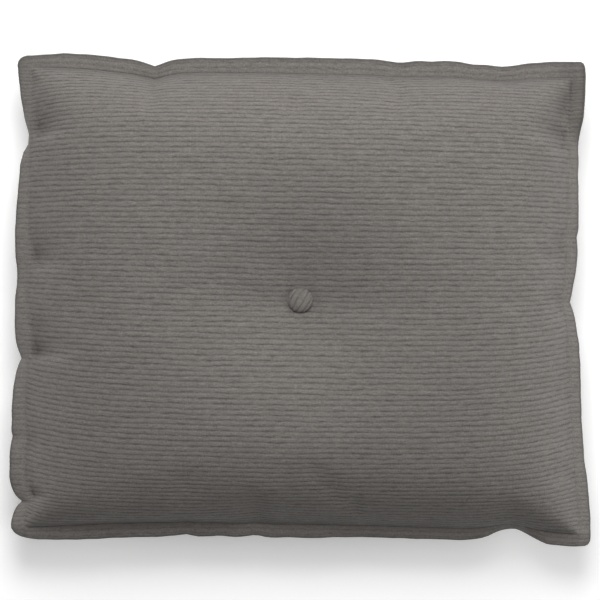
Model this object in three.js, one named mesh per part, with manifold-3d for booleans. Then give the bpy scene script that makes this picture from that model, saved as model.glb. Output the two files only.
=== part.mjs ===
// A back cushion laid on its back: filled and knife-edged, in ribbed cloth, with a self flange all round
// that is drawn in by puckers, and one covered button sewn into the middle of its face.
// Millimetres, +Z up, the head of the cushion towards +Y. The origin lies under the middle of the
// cushion, on the surface that it rests on.
import * as THREE from 'three';
import { mergeVertices } from 'three/addons/utils/BufferGeometryUtils.js';
import Module from 'manifold-3d';

const wasm = await Module();
wasm.setup();

// Driving sizes of the cushion, measured over its flange
const WIDTH = 600;
const HEIGHT = 508;
const FLANGE_WIDTH = 14;
const FLANGE_THICKNESS = 2.4;
const CORNER_RADIUS = 9;

// The filled body: how far each face swells from the seam plane, and how fast it rises at the sides
const FACE_SWELL = 93;
const BACK_SWELL = 86;
const RISE_AT_SIDES = 37;
const RISE_AT_ENDS = 49;
const RISE_BLEND = 1.4;
const RESTING_DEPTH = 68;

// Where the four corners lie, in the plane of the seam: the cushion is a little out of square
const CORNERS = {
  headLeft: { x: -291, y: 254 },
  headRight: { x: 295, y: 247 },
  footRight: { x: 300, y: -254 },
  footLeft: { x: -300, y: -248 },
};

// How far the middle of each side is drawn in by the filling
const DRAW_IN = { head: 0, foot: 5, left: 1, right: 10 };

// The puckers of the flange: the side, the place along it, how deep the edge is drawn in, the half width
// of the notch, and how deep and how long the fold is that runs from it into the filled body
const PUCKERS = [
  { side: 'head', at: -150, depth: 8, width: 13, fold: 5, reach: 70 },
  { side: 'head', at: -146, depth: 3, width: 42, fold: 0, reach: 1 },
  { side: 'head', at: -20, depth: 1, width: 20, fold: 3, reach: 60 },
  { side: 'head', at: 98, depth: 4, width: 20, fold: 4, reach: 60 },
  { side: 'head', at: 209, depth: 6, width: 30, fold: 4, reach: 60 },
  { side: 'foot', at: -117, depth: 3, width: 16, fold: 4, reach: 70 },
  { side: 'foot', at: -46, depth: 3, width: 12, fold: 3, reach: 50 },
  { side: 'foot', at: 217, depth: 12, width: 27, fold: 6, reach: 60 },
  { side: 'left', at: 163, depth: 11, width: 27, fold: 7, reach: 60 },
  { side: 'left', at: 23, depth: 3, width: 17, fold: 4, reach: 45 },
  { side: 'left', at: -61, depth: 7, width: 13, fold: 6, reach: 50 },
  { side: 'left', at: -113, depth: 2, width: 14, fold: 3, reach: 40 },
  { side: 'left', at: -208, depth: 10, width: 9, fold: 5, reach: 50 },
  { side: 'right', at: 165, depth: 3, width: 20, fold: 3, reach: 50 },
  { side: 'right', at: 71, depth: 2, width: 10, fold: 3, reach: 45 },
  { side: 'right', at: -3, depth: 9, width: 15, fold: 6, reach: 60 },
];
const PULL_REACH = 48;
const FLANGE_LIFT = 0.35;

// The ribs of the cloth, which run from left to right
const RIB_PITCH = 5.7;
const RIB_HEIGHT = 1.1;
const GATHER_REACH = 32;

// The button and the hollow that its thread draws in the face
const BUTTON_RADIUS = 12.5;
const BUTTON_HEIGHT = 9;
const BUTTON_RIB_TURN = THREE.MathUtils.degToRad(60);
const BUTTON_RIB_HEIGHT = 0.7;
const SEAT_CLEARANCE = 0.45;
const BUTTON_SINK = 4;
const HOLLOW = { depth: 13, radius: 62 };
const HOLLOW_CORE = { depth: 9, radius: 24 };
const HOLLOW_CREASE = { depth: 3, width: 18, reach: 110 };

// How finely each surface is divided
const FACE_COLUMNS = [0, 14, 28, 52, 88, 130, 172, 208, 236, 256, 272];
const FLANGE_STEPS = { foot: 74, right: 62, head: 74, left: 62 };
const BACK_COLUMNS = 18;
const BACK_ROWS = 15;
const PROFILE_SAMPLES = 400;
const NORMAL_STEP = 0.5;

const HALF_WIDTH = WIDTH / 2;
const HALF_HEIGHT = HEIGHT / 2;
const SEAM_HALF_WIDTH = HALF_WIDTH - FLANGE_WIDTH;
const SEAM_HALF_HEIGHT = HALF_HEIGHT - FLANGE_WIDTH;

const CLOTH_COLOUR = '#706c69';

const { clamp, lerp } = THREE.MathUtils;

// A bell of height 1 and the given half width
function bell(distance, width) {
  return Math.exp(-((distance / width) ** 2));
}

// How far the edge of one side is drawn in at a place along it
function edgePull(side, along, halfLength) {
  const share = clamp(along / halfLength, -1, 1);
  let pull = DRAW_IN[side] * (1 - share ** 2);
  for (const pucker of PUCKERS) {
    if (pucker.side === side) pull += pucker.depth * bell(along - pucker.at, pucker.width);
  }
  return pull;
}

// Rounds the corners of the flat pattern: each square step of a corner is drawn onto an arc
function roundCorner(x, y) {
  const overX = Math.abs(x) - (HALF_WIDTH - CORNER_RADIUS);
  const overY = Math.abs(y) - (HALF_HEIGHT - CORNER_RADIUS);
  if (overX <= 0 || overY <= 0) return [x, y];
  const shrink = Math.max(overX, overY) / Math.hypot(overX, overY);
  return [
    Math.sign(x) * (HALF_WIDTH - CORNER_RADIUS + overX * shrink),
    Math.sign(y) * (HALF_HEIGHT - CORNER_RADIUS + overY * shrink),
  ];
}

// Carries a point of the flat pattern, a plain rectangle, to its place in the seam plane of the real cushion
function placeInPlane(patternX, patternY) {
  const [x, y] = roundCorner(patternX, patternY);
  const u = x / HALF_WIDTH / 2 + 0.5;
  const v = y / HALF_HEIGHT / 2 + 0.5;
  const { headLeft, headRight, footLeft, footRight } = CORNERS;
  let planeX = lerp(lerp(footLeft.x, footRight.x, u), lerp(headLeft.x, headRight.x, u), v);
  let planeY = lerp(lerp(footLeft.y, footRight.y, u), lerp(headLeft.y, headRight.y, u), v);
  const fade = (distance) => Math.exp(-Math.max(distance, 0) / PULL_REACH);
  planeX += edgePull('left', y, HALF_HEIGHT) * fade(HALF_WIDTH + x);
  planeX -= edgePull('right', y, HALF_HEIGHT) * fade(HALF_WIDTH - x);
  planeY += edgePull('foot', x, HALF_WIDTH) * fade(HALF_HEIGHT + y);
  planeY -= edgePull('head', x, HALF_WIDTH) * fade(HALF_HEIGHT - y);
  return [planeX, planeY];
}

// The swell of a filled face: it rises steeply from each seam and levels off towards the middle
function swell(x, y, fullSwell) {
  const distances = [
    (SEAM_HALF_WIDTH + x) / RISE_AT_SIDES,
    (SEAM_HALF_WIDTH - x) / RISE_AT_SIDES,
    (SEAM_HALF_HEIGHT + y) / RISE_AT_ENDS,
    (SEAM_HALF_HEIGHT - y) / RISE_AT_ENDS,
  ];
  if (Math.min(...distances) <= 0) return 0;
  const joined = distances.reduce((sum, d) => sum + d ** -RISE_BLEND, 0) ** (-1 / RISE_BLEND);
  return fullSwell * (1 - Math.exp(-joined));
}

// The depth of the folds that run from the puckers into the filled body
function foldDepth(x, y) {
  let depth = 0;
  for (const pucker of PUCKERS) {
    const across = pucker.side === 'head' || pucker.side === 'foot' ? x : y;
    const inward = {
      head: SEAM_HALF_HEIGHT - y,
      foot: SEAM_HALF_HEIGHT + y,
      left: SEAM_HALF_WIDTH + x,
      right: SEAM_HALF_WIDTH - x,
    }[pucker.side];
    const run = Math.max(inward, 0) / pucker.reach;
    depth += pucker.fold * bell(across - pucker.at, pucker.width) * run * Math.exp(1 - run);
  }
  return depth;
}

// The height of the upper face over the seam plane, with the hollow of the button and the folds
function faceHeight(x, y) {
  const radius = Math.hypot(x, y);
  const body = swell(x, y, FACE_SWELL);
  const share = body / FACE_SWELL;
  const hollow = HOLLOW.depth * bell(radius, HOLLOW.radius)
    + HOLLOW_CORE.depth * bell(radius, HOLLOW_CORE.radius)
    + HOLLOW_CREASE.depth * bell(y, HOLLOW_CREASE.width) * bell(x, HOLLOW_CREASE.reach);
  return FLANGE_THICKNESS / 4 + body - hollow * share - foldDepth(x, y) * share;
}

// The height of the under face, which is flat where the cushion rests
function backHeight(x, y) {
  return -FLANGE_THICKNESS / 4 - Math.min(swell(x, y, BACK_SWELL), RESTING_DEPTH - FLANGE_THICKNESS / 4);
}

// The wave of the flange, which lifts a little beside each pucker
function flangeWave(x, y) {
  const places = { head: [x, HALF_HEIGHT - y], foot: [x, HALF_HEIGHT + y],
    left: [y, HALF_WIDTH + x], right: [y, HALF_WIDTH - x] };
  let wave = 0;
  for (const pucker of PUCKERS) {
    const [along, inward] = places[pucker.side];
    const offset = (along - pucker.at) / pucker.width;
    const near = clamp(1 - inward / FLANGE_WIDTH, 0, 1);
    wave += pucker.depth * FLANGE_LIFT * near * (1 - offset ** 2) * Math.exp(-(offset ** 2) / 2);
  }
  return wave;
}

// The length of cloth from foot seam to head seam over the middle of the face, as a list of its samples
const ribLadder = [{ y: -SEAM_HALF_HEIGHT, length: 0 }];
for (let i = 1; i <= PROFILE_SAMPLES; i += 1) {
  const last = ribLadder[i - 1];
  const y = lerp(-SEAM_HALF_HEIGHT, SEAM_HALF_HEIGHT, i / PROFILE_SAMPLES);
  const rise = swell(0, y, FACE_SWELL) - swell(0, last.y, FACE_SWELL);
  ribLadder.push({ y, length: last.length + Math.hypot(y - last.y, rise) });
}
const CLOTH_LENGTH = ribLadder[PROFILE_SAMPLES].length;
const RIB_COUNT = Math.round(CLOTH_LENGTH / RIB_PITCH);
const FACE_ROWS = 2 * RIB_COUNT;

// The place over the middle of the face of a rib that lies at a share of the cloth's length
function ribPlace(share) {
  const wanted = share * CLOTH_LENGTH;
  const next = Math.max(1, ribLadder.findIndex((sample) => sample.length >= wanted - 1e-9));
  const [a, b] = [ribLadder[next - 1], ribLadder[next]];
  return lerp(a.y, b.y, (wanted - a.length) / (b.length - a.length));
}

// A point of the upper face before its ribs are raised: the ribs draw together at the gathered sides
function smoothFacePoint(x, share) {
  const gather = Math.exp(-(SEAM_HALF_WIDTH - Math.abs(x)) / GATHER_REACH);
  const evenPlace = lerp(-SEAM_HALF_HEIGHT, SEAM_HALF_HEIGHT, share);
  const y = lerp(ribPlace(share), evenPlace, gather);
  const [planeX, planeY] = placeInPlane(x, y);
  return new THREE.Vector3(planeX, planeY, RESTING_DEPTH + faceHeight(x, y));
}

// A point of the upper face: odd rows are raised to the top of a rib, even rows lie in the valley
function facePoint(x, row) {
  const share = row / FACE_ROWS;
  const point = smoothFacePoint(x, share);
  const onSeam = Math.abs(x) >= SEAM_HALF_WIDTH || row === 0 || row === FACE_ROWS;
  if (onSeam) return point;
  const shareStep = NORMAL_STEP / CLOTH_LENGTH;
  const alongX = smoothFacePoint(x + NORMAL_STEP, share).sub(smoothFacePoint(x - NORMAL_STEP, share));
  const alongY = smoothFacePoint(x, share + shareStep).sub(smoothFacePoint(x, share - shareStep));
  const normal = alongX.cross(alongY).normalize();
  const raised = row % 2 === 1 ? RIB_HEIGHT / 2 : -RIB_HEIGHT / 2;
  return point.addScaledVector(normal, raised);
}

// A closed shell under construction: points and triangles, and the strips between its loops
class Shell {
  points = [];
  triangles = [];

  addPoint(point) {
    this.points.push(point);
    return this.points.length - 1;
  }

  addTriangle(a, b, c, facesUp) {
    this.triangles.push(facesUp ? [a, b, c] : [a, c, b]);
  }

  // A grid of points over a face, given its columns and rows, and the loop of its border
  addGrid(columns, rows, pointOf, facesUp) {
    const index = rows.map((row) => columns.map((column) => this.addPoint(pointOf(column.at, row.at))));
    for (let j = 0; j + 1 < rows.length; j += 1) {
      for (let i = 0; i + 1 < columns.length; i += 1) {
        const [a, b, c, d] = [index[j][i], index[j][i + 1], index[j + 1][i + 1], index[j + 1][i]];
        this.addTriangle(a, b, c, facesUp);
        this.addTriangle(a, c, d, facesUp);
      }
    }
    const lastRow = rows.length - 1;
    const lastColumn = columns.length - 1;
    const place = (item, key) => ({ index: item, share: key });
    return {
      foot: columns.map((column, i) => place(index[0][i], column.share)),
      right: rows.map((row, j) => place(index[j][lastColumn], row.share)),
      head: columns.map((column, i) => place(index[lastRow][i], 1 - column.share)).reverse(),
      left: rows.map((row, j) => place(index[j][0], 1 - row.share)).reverse(),
    };
  }

  // A loop that runs round the pattern at an inset from its edge, at a height over the seam plane
  addLoop(inset, heightOf) {
    const x = HALF_WIDTH - inset;
    const y = HALF_HEIGHT - inset;
    const corners = { foot: [-x, -y, x, -y], right: [x, -y, x, y], head: [x, y, -x, y], left: [-x, y, -x, -y] };
    const loop = {};
    const sides = Object.keys(corners);
    sides.forEach((side) => {
      const [startX, startY, endX, endY] = corners[side];
      loop[side] = [];
      for (let i = 0; i < FLANGE_STEPS[side]; i += 1) {
        const share = i / FLANGE_STEPS[side];
        const patternX = lerp(startX, endX, share);
        const patternY = lerp(startY, endY, share);
        const [planeX, planeY] = placeInPlane(patternX, patternY);
        const height = RESTING_DEPTH + heightOf(patternX, patternY);
        loop[side].push({ index: this.addPoint(new THREE.Vector3(planeX, planeY, height)), share });
      }
    });
    sides.forEach((side, i) => {
      const following = loop[sides[(i + 1) % sides.length]];
      loop[side].push({ index: following[0].index, share: 1 });
    });
    return loop;
  }

  // A strip of triangles between an outer and an inner loop, side by side
  addStrip(outer, inner, facesUp) {
    for (const side of Object.keys(outer)) {
      const [far, near] = [outer[side], inner[side]];
      let [i, j] = [0, 0];
      while (i + 1 < far.length || j + 1 < near.length) {
        const nextFar = i + 1 < far.length ? far[i + 1].share : Infinity;
        const nextNear = j + 1 < near.length ? near[j + 1].share : Infinity;
        if (nextFar <= nextNear) {
          this.addTriangle(far[i].index, far[i + 1].index, near[j].index, facesUp);
          i += 1;
        } else {
          this.addTriangle(far[i].index, near[j + 1].index, near[j].index, facesUp);
          j += 1;
        }
      }
    }
  }

  toGeometry() {
    const geometry = new THREE.BufferGeometry();
    geometry.setAttribute('position', new THREE.Float32BufferAttribute(this.points.flatMap((p) => p.toArray()), 3));
    geometry.setIndex(this.triangles.flat());
    return geometry;
  }
}

// A closed geometry as a solid that can be cut
function toSolid(geometry) {
  const merged = geometry.clone();
  merged.deleteAttribute('normal');
  merged.deleteAttribute('uv');
  const welded = mergeVertices(merged, 1e-4);
  return new wasm.Manifold(new wasm.Mesh({
    numProp: 3,
    vertProperties: new Float32Array(welded.attributes.position.array),
    triVerts: new Uint32Array(welded.index.array),
  }));
}

// A cut solid back as a geometry
function toGeometry(solid) {
  const mesh = solid.getMesh();
  const geometry = new THREE.BufferGeometry();
  geometry.setAttribute('position', new THREE.BufferAttribute(mesh.vertProperties, mesh.numProp));
  geometry.setIndex(new THREE.BufferAttribute(mesh.triVerts, 1));
  geometry.computeVertexNormals();
  return geometry;
}

// Evenly spaced lines across a span, each with its share of the span
function evenLines(count, half) {
  return Array.from({ length: count + 1 }, (_, i) => ({ at: lerp(-half, half, i / count), share: i / count }));
}

// The filled body with its flange, as one closed shell
function cushionShell() {
  const shell = new Shell();
  const spread = SEAM_HALF_WIDTH / FACE_COLUMNS.at(-1);
  const rightColumns = FACE_COLUMNS.map((x) => x * spread);
  const leftColumns = rightColumns.slice(1).reverse().map((x) => -x);
  const faceColumns = [...leftColumns, ...rightColumns].map((x) => ({
    at: x,
    share: (x / SEAM_HALF_WIDTH + 1) / 2,
  }));
  const faceRows = Array.from({ length: FACE_ROWS + 1 }, (_, row) => ({ at: row, share: row / FACE_ROWS }));
  const face = shell.addGrid(faceColumns, faceRows, facePoint, true);

  const ply = FLANGE_THICKNESS / 2;
  const seamInset = FLANGE_WIDTH - 2;
  const upperSeam = shell.addLoop(seamInset, () => ply);
  const upperEdge = shell.addLoop(0, (x, y) => ply + flangeWave(x, y));
  const lowerEdge = shell.addLoop(0, (x, y) => -ply + flangeWave(x, y));
  const lowerSeam = shell.addLoop(seamInset, () => -ply);

  const backPoint = (x, y) => {
    const [planeX, planeY] = placeInPlane(x, y);
    return new THREE.Vector3(planeX, planeY, RESTING_DEPTH + backHeight(x, y));
  };
  const back = shell.addGrid(
    evenLines(BACK_COLUMNS, SEAM_HALF_WIDTH),
    evenLines(BACK_ROWS, SEAM_HALF_HEIGHT),
    backPoint,
    false,
  );

  shell.addStrip(upperSeam, face, true);
  shell.addStrip(upperEdge, upperSeam, true);
  shell.addStrip(lowerEdge, upperEdge, true);
  shell.addStrip(lowerEdge, lowerSeam, false);
  shell.addStrip(lowerSeam, back, false);
  return shell;
}

// The half section of the button, from the middle of its foot round to its crown, grown by a margin
function buttonSection(margin) {
  const flatRadius = BUTTON_RADIUS * 0.7 + margin;
  const widestHeight = BUTTON_HEIGHT * 0.35;
  const points = [new THREE.Vector2(0, -margin), new THREE.Vector2(flatRadius, -margin)];
  const arcSteps = 8;
  for (let i = 0; i < arcSteps; i += 1) {
    const angle = (i / arcSteps) * (Math.PI / 2);
    const radius = (BUTTON_RADIUS + margin) * Math.cos(angle);
    const height = widestHeight + (BUTTON_HEIGHT - widestHeight + margin) * Math.sin(angle);
    points.push(new THREE.Vector2(radius, height));
  }
  points.push(new THREE.Vector2(0, BUTTON_HEIGHT + margin));
  return points;
}

// A turned shape with its axis upright
function turned(section, sides) {
  return new THREE.LatheGeometry(section, sides).rotateX(Math.PI / 2);
}

const group = new THREE.Group();
const buttonFloor = RESTING_DEPTH + faceHeight(0, 0) - BUTTON_SINK;

// The cushion, with the seat that the button presses into its face: its clearance up and out leaves
// about 0.3 mm square to the button's slanted side
const buttonSides = 32;
const seat = turned(buttonSection(SEAT_CLEARANCE), buttonSides).translate(0, 0, buttonFloor);
const cushionSolid = toSolid(cushionShell().toGeometry()).subtract(toSolid(seat));
const cushion = new THREE.Mesh(
  toGeometry(cushionSolid),
  new THREE.MeshStandardMaterial({ color: CLOTH_COLOUR, roughness: 0.95, metalness: 0 }),
);
cushion.name = 'cushion';
group.add(cushion);

// The covered button: a low dome with the ribs of its cloth set on the slant
const buttonGeometry = turned(buttonSection(0), buttonSides);
const dome = buttonGeometry.attributes.position;
for (let i = 0; i < dome.count; i += 1) {
  const across = dome.getX(i) * Math.sin(BUTTON_RIB_TURN) - dome.getY(i) * Math.cos(BUTTON_RIB_TURN);
  const height = dome.getZ(i);
  const onTop = clamp(height / BUTTON_HEIGHT - 0.5, 0, 0.5) * 2;
  const valley = (1 - Math.cos((across / RIB_PITCH) * 2 * Math.PI)) / 2;
  dome.setZ(i, height - BUTTON_RIB_HEIGHT * valley * onTop);
}
buttonGeometry.computeVertexNormals();
const button = new THREE.Mesh(
  buttonGeometry,
  new THREE.MeshStandardMaterial({ color: CLOTH_COLOUR, roughness: 0.95, metalness: 0 }),
);
button.name = 'button';
button.position.set(0, 0, buttonFloor);
group.add(button);

// The origin goes under the middle of the whole cushion
group.updateMatrixWorld(true);
const middle = new THREE.Box3().setFromObject(group).getCenter(new THREE.Vector3());
group.position.set(-middle.x, -middle.y, 0);

export default group;
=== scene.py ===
"""A knife-edged back cushion in ribbed cloth, lying on its back, seen straight from above its face.

The cushion is worked out in millimetres on its own flat pattern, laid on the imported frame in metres,
filled by a cloth simulation, and then ribbed, stitched and buttoned. The frame's origin is under the
middle of the cushion, +X to its right, +Y to its head and +Z out of its face.
"""

import logging
import math
from collections.abc import Callable
from dataclasses import dataclass, field
from enum import Enum

import bpy
import numpy as np
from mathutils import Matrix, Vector


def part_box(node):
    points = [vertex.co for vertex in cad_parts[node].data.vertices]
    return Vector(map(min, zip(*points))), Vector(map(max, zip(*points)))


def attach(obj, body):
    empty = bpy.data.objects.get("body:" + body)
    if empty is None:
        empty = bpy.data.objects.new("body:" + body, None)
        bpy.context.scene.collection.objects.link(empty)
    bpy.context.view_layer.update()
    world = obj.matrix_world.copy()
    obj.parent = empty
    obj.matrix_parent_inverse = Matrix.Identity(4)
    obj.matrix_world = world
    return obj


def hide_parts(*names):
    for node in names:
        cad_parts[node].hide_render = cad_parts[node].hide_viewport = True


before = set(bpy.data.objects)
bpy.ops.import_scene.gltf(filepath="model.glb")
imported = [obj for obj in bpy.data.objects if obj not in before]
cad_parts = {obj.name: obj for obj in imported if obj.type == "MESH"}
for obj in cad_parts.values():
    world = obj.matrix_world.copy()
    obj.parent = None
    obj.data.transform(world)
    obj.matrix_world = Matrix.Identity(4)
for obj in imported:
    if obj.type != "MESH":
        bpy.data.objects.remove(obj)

log = logging.getLogger("back_cushion")

MM = 0.001
IMAGE_SIDE = 600
LEAST_LENGTH = 1e-9
LEAST_STEP = 1e-6
CLOTH_MAP = "cloth"
# The attribute of where the cloth is pressed flat, which gets less of the painted groove shade.
PRESSED = "pressed"
# The attribute of the painted shade that darkens the flange's folded rim, where the fold turns from the
# light.
PAINTED_FOLD_SHADE = "painted_fold_shade"
WAVE_TURN = 10.0
# Three of the Mix node's inputs, and one of its outputs, share their names with others and go by number.
MIX_SHARE = 0
MIX_FROM = 6
MIX_TO = 7
MIX_COLOUR = 2
Array = np.ndarray
Pair = tuple[Array, Array]
Triple = tuple[Array, Array, Array]
HeightOf = Callable[[Array, Array], Array]
Socket = bpy.types.NodeSocket


class Side(Enum):
    """The four sides of the cushion, named as it stands against a chair's back."""

    HEAD = "head"
    FOOT = "foot"
    LEFT = "left"
    RIGHT = "right"


SideTable = tuple[tuple[Side, float, float], ...]


@dataclass(frozen=True)
class Pucker:
    """One place where the sewn edge is gathered, in millimetres.

    at is its place along its side, from the side's middle. width is how fast it fades along the side, and
    sharpness is 1 for a pointed notch and 2 for a round one. pull is how far the seam comes in, and fold how
    much less of the flange's width shows. gather is how far the ribs beside it are drawn towards it.
    """

    side: Side
    at: float
    width: float
    sharpness: float
    pull: float
    fold: float
    gather: float = 0.0


PUCKERS = (
    Pucker(Side.HEAD, at=-154, width=13, sharpness=1.3, pull=4.2, fold=2.0),
    Pucker(Side.HEAD, at=-165, width=44, sharpness=2.0, pull=4.0, fold=0),
    Pucker(Side.HEAD, at=-83, width=32, sharpness=3.0, pull=0.4, fold=0.7),
    Pucker(Side.HEAD, at=100.5, width=20, sharpness=1.5, pull=1.5, fold=2.0),
    Pucker(Side.HEAD, at=135.5, width=11, sharpness=2.0, pull=0.3, fold=0.8),
    Pucker(Side.HEAD, at=179, width=15, sharpness=2.0, pull=0.5, fold=1.0),
    Pucker(Side.HEAD, at=209, width=27, sharpness=1.6, pull=2.3, fold=2.0),
    Pucker(Side.FOOT, at=-117.5, width=8, sharpness=1.5, pull=0.5, fold=1.3),
    Pucker(Side.FOOT, at=-47, width=12, sharpness=1.5, pull=1.5, fold=2.2),
    Pucker(Side.FOOT, at=213.5, width=28, sharpness=2.0, pull=7.0, fold=7.5),
    Pucker(Side.LEFT, at=163, width=24, sharpness=2.0, pull=0.5, fold=0, gather=1.5),
    Pucker(Side.LEFT, at=22, width=19, sharpness=2.0, pull=0.8, fold=1.9, gather=1.5),
    Pucker(Side.LEFT, at=-63, width=16, sharpness=1.2, pull=2.2, fold=6.0, gather=2.0),
    Pucker(Side.LEFT, at=-143, width=7, sharpness=1.3, pull=0.8, fold=1.6, gather=1.0),
    Pucker(Side.LEFT, at=-210, width=9, sharpness=1.1, pull=5.2, fold=7.5, gather=4.0),
    Pucker(Side.RIGHT, at=168, width=16, sharpness=1.5, pull=0.5, fold=0, gather=1.0),
    Pucker(Side.RIGHT, at=71.5, width=8, sharpness=1.2, pull=1.8, fold=0, gather=1.0),
    Pucker(Side.RIGHT, at=4, width=13, sharpness=1.2, pull=3.5, fold=2.0, gather=2.0),
    Pucker(Side.RIGHT, at=16, width=30, sharpness=2.0, pull=2.8, fold=1.0),
)


@dataclass(frozen=True)
class Dent:
    """A soft dent in the filled face where the cloth is gathered, in millimetres.

    at and inwards are the place of its middle, along its side and in from the seam. length is how far it
    reaches along the side towards the head or the right, and tail how far the other way, length if it is 0.
    breadth is how far it reaches inwards, and depth is below 0 for a puff.
    """

    side: Side
    at: float
    inwards: float
    length: float
    breadth: float
    depth: float
    tail: float = 0.0

    def depth_at(self, inwards: Array, along: Array) -> Array:
        """A bell in both directions round the dent's middle, with a length of its own to each side."""
        length = np.where(along > self.at, self.length, self.tail or self.length)
        return self.depth * bell(along - self.at, length) * bell(inwards - self.inwards, self.breadth)


DENTS = (
    Dent(Side.HEAD, at=-155, inwards=14, length=11, breadth=26, depth=3.5),
    Dent(Side.HEAD, at=98, inwards=14, length=16, breadth=28, depth=2.0),
    Dent(Side.HEAD, at=206, inwards=14, length=22, breadth=24, depth=2.5),
    Dent(Side.FOOT, at=-117, inwards=12, length=16, breadth=26, depth=2.5),
    Dent(Side.FOOT, at=-46, inwards=12, length=12, breadth=24, depth=1.5),
    Dent(Side.FOOT, at=215, inwards=12, length=24, breadth=26, depth=3.0),
    Dent(Side.FOOT, at=-225, inwards=26, length=40, breadth=22, depth=-3.5),
    Dent(Side.LEFT, at=170, inwards=14, length=20, breadth=16, depth=18.0, tail=6),
    Dent(Side.LEFT, at=38, inwards=13, length=19, breadth=15, depth=16.0, tail=8),
    Dent(Side.LEFT, at=-58, inwards=14, length=18, breadth=17, depth=20.5, tail=4.5),
    Dent(Side.LEFT, at=-34, inwards=13, length=15, breadth=15, depth=7.0, tail=11),
    Dent(Side.LEFT, at=-76, inwards=9, length=9, breadth=12, depth=-1.0),
    Dent(Side.LEFT, at=-150, inwards=7, length=11, breadth=10, depth=4.0),
    Dent(Side.LEFT, at=-203, inwards=10, length=9, breadth=9, depth=13.0, tail=4),
    Dent(Side.RIGHT, at=200, inwards=9, length=22, breadth=12, depth=9.0, tail=9),
    Dent(Side.RIGHT, at=177, inwards=19, length=16, breadth=17, depth=13.0, tail=6),
    Dent(Side.RIGHT, at=164, inwards=9, length=14, breadth=12, depth=9.5, tail=6),
    Dent(Side.RIGHT, at=59, inwards=7, length=15, breadth=10, depth=7.0, tail=8),
    Dent(Side.RIGHT, at=50, inwards=15, length=10, breadth=12, depth=7.0, tail=5),
    Dent(Side.RIGHT, at=0, inwards=7, length=13, breadth=13, depth=7.0),
    Dent(Side.RIGHT, at=-91, inwards=12, length=12, breadth=16, depth=2.6, tail=8),
    Dent(Side.RIGHT, at=-135, inwards=12, length=12, breadth=16, depth=2.6, tail=8),
    Dent(Side.RIGHT, at=-175, inwards=12, length=12, breadth=16, depth=2.6, tail=8),
)

# How much of the flange's width shows from above, in mm: side, place along the side, width.
FLANGE_SHOWN = (
    (Side.HEAD, -283, 10.8),
    (Side.HEAD, -250, 14.2),
    (Side.HEAD, -196, 14.7),
    (Side.HEAD, -92, 14.9),
    (Side.HEAD, 0, 15.9),
    (Side.HEAD, 135, 16.4),
    (Side.HEAD, 240, 16.0),
    (Side.HEAD, 283, 15.6),
    (Side.FOOT, -283, 10.2),
    (Side.FOOT, -268, 12.8),
    (Side.FOOT, -257, 13.0),
    (Side.FOOT, -232, 14.7),
    (Side.FOOT, -185, 14.2),
    (Side.FOOT, -148, 14.5),
    (Side.FOOT, -136, 13.2),
    (Side.FOOT, -124, 13.7),
    (Side.FOOT, -105, 14.4),
    (Side.FOOT, -85, 12.9),
    (Side.FOOT, -63, 14.0),
    (Side.FOOT, -50, 14.9),
    (Side.FOOT, -36, 14.9),
    (Side.FOOT, -20, 13.2),
    (Side.FOOT, 15, 13.9),
    (Side.FOOT, 35, 12.5),
    (Side.FOOT, 49, 12.0),
    (Side.FOOT, 163, 12.0),
    (Side.FOOT, 190, 13.7),
    (Side.FOOT, 212, 13.3),
    (Side.FOOT, 221, 11.9),
    (Side.FOOT, 233, 12.2),
    (Side.FOOT, 250, 14.1),
    (Side.FOOT, 261, 13.1),
    (Side.FOOT, 283, 12.2),
    (Side.LEFT, 254, 14.6),
    (Side.LEFT, 238, 14.1),
    (Side.LEFT, 206, 10.3),
    (Side.LEFT, 186, 7.0),
    (Side.LEFT, 168, 2.8),
    (Side.LEFT, 157, 3.1),
    (Side.LEFT, 149, 7.6),
    (Side.LEFT, 136, 9.9),
    (Side.LEFT, 110, 11.5),
    (Side.LEFT, 97, 12.9),
    (Side.LEFT, 57, 14.0),
    (Side.LEFT, 27, 13.9),
    (Side.LEFT, -3, 13.2),
    (Side.LEFT, -63, 14.2),
    (Side.LEFT, -125, 14.5),
    (Side.LEFT, -137, 15.6),
    (Side.LEFT, -205, 15.8),
    (Side.LEFT, -225, 14.1),
    (Side.LEFT, -254, 14.2),
    (Side.RIGHT, 254, 12.7),
    (Side.RIGHT, 245, 10.8),
    (Side.RIGHT, 207, 12.2),
    (Side.RIGHT, 195, 11.7),
    (Side.RIGHT, 182, 10.2),
    (Side.RIGHT, 170, 9.3),
    (Side.RIGHT, 82, 12.2),
    (Side.RIGHT, 0, 12.0),
    (Side.RIGHT, -17, 10.8),
    (Side.RIGHT, -30, 10.8),
    (Side.RIGHT, -42, 12.2),
    (Side.RIGHT, -59, 12.5),
    (Side.RIGHT, -104, 11.6),
    (Side.RIGHT, -155, 11.3),
    (Side.RIGHT, -185, 13.2),
    (Side.RIGHT, -215, 12.8),
    (Side.RIGHT, -254, 11.2),
)


# How the flange lies where it isn't folded over: side, place along the side, and 1 where it hangs from the
# seam by its turn, 0 where it lies level and -1 where it stands up by its turn.
FLANGE_HANG = (
    (Side.HEAD, 0, -0.1),
    (Side.FOOT, 0, 0.55),
    (Side.LEFT, 254, 0.5),
    (Side.LEFT, 60, 0.7),
    (Side.LEFT, -60, 1.0),
    (Side.RIGHT, 195, -1.0),
    (Side.RIGHT, 165, 0.8),
)


@dataclass(frozen=True)
class SeamSide:
    """What the seam and the flange of one side have of their own, in millimetres.

    flange_width is the flange's width as sewn, from the seam to the middle of its fold. draw_in is how far
    the middle of the seam comes in between its corners. rise is how far in from the seam the filling has
    climbed two thirds of the way, and softness how far in the cloth is still turning up into that slope.
    ripple_start sets where the small ripples start.
    """

    flange_width: float
    draw_in: float
    rise: float
    softness: float
    ripple_start: float


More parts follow.
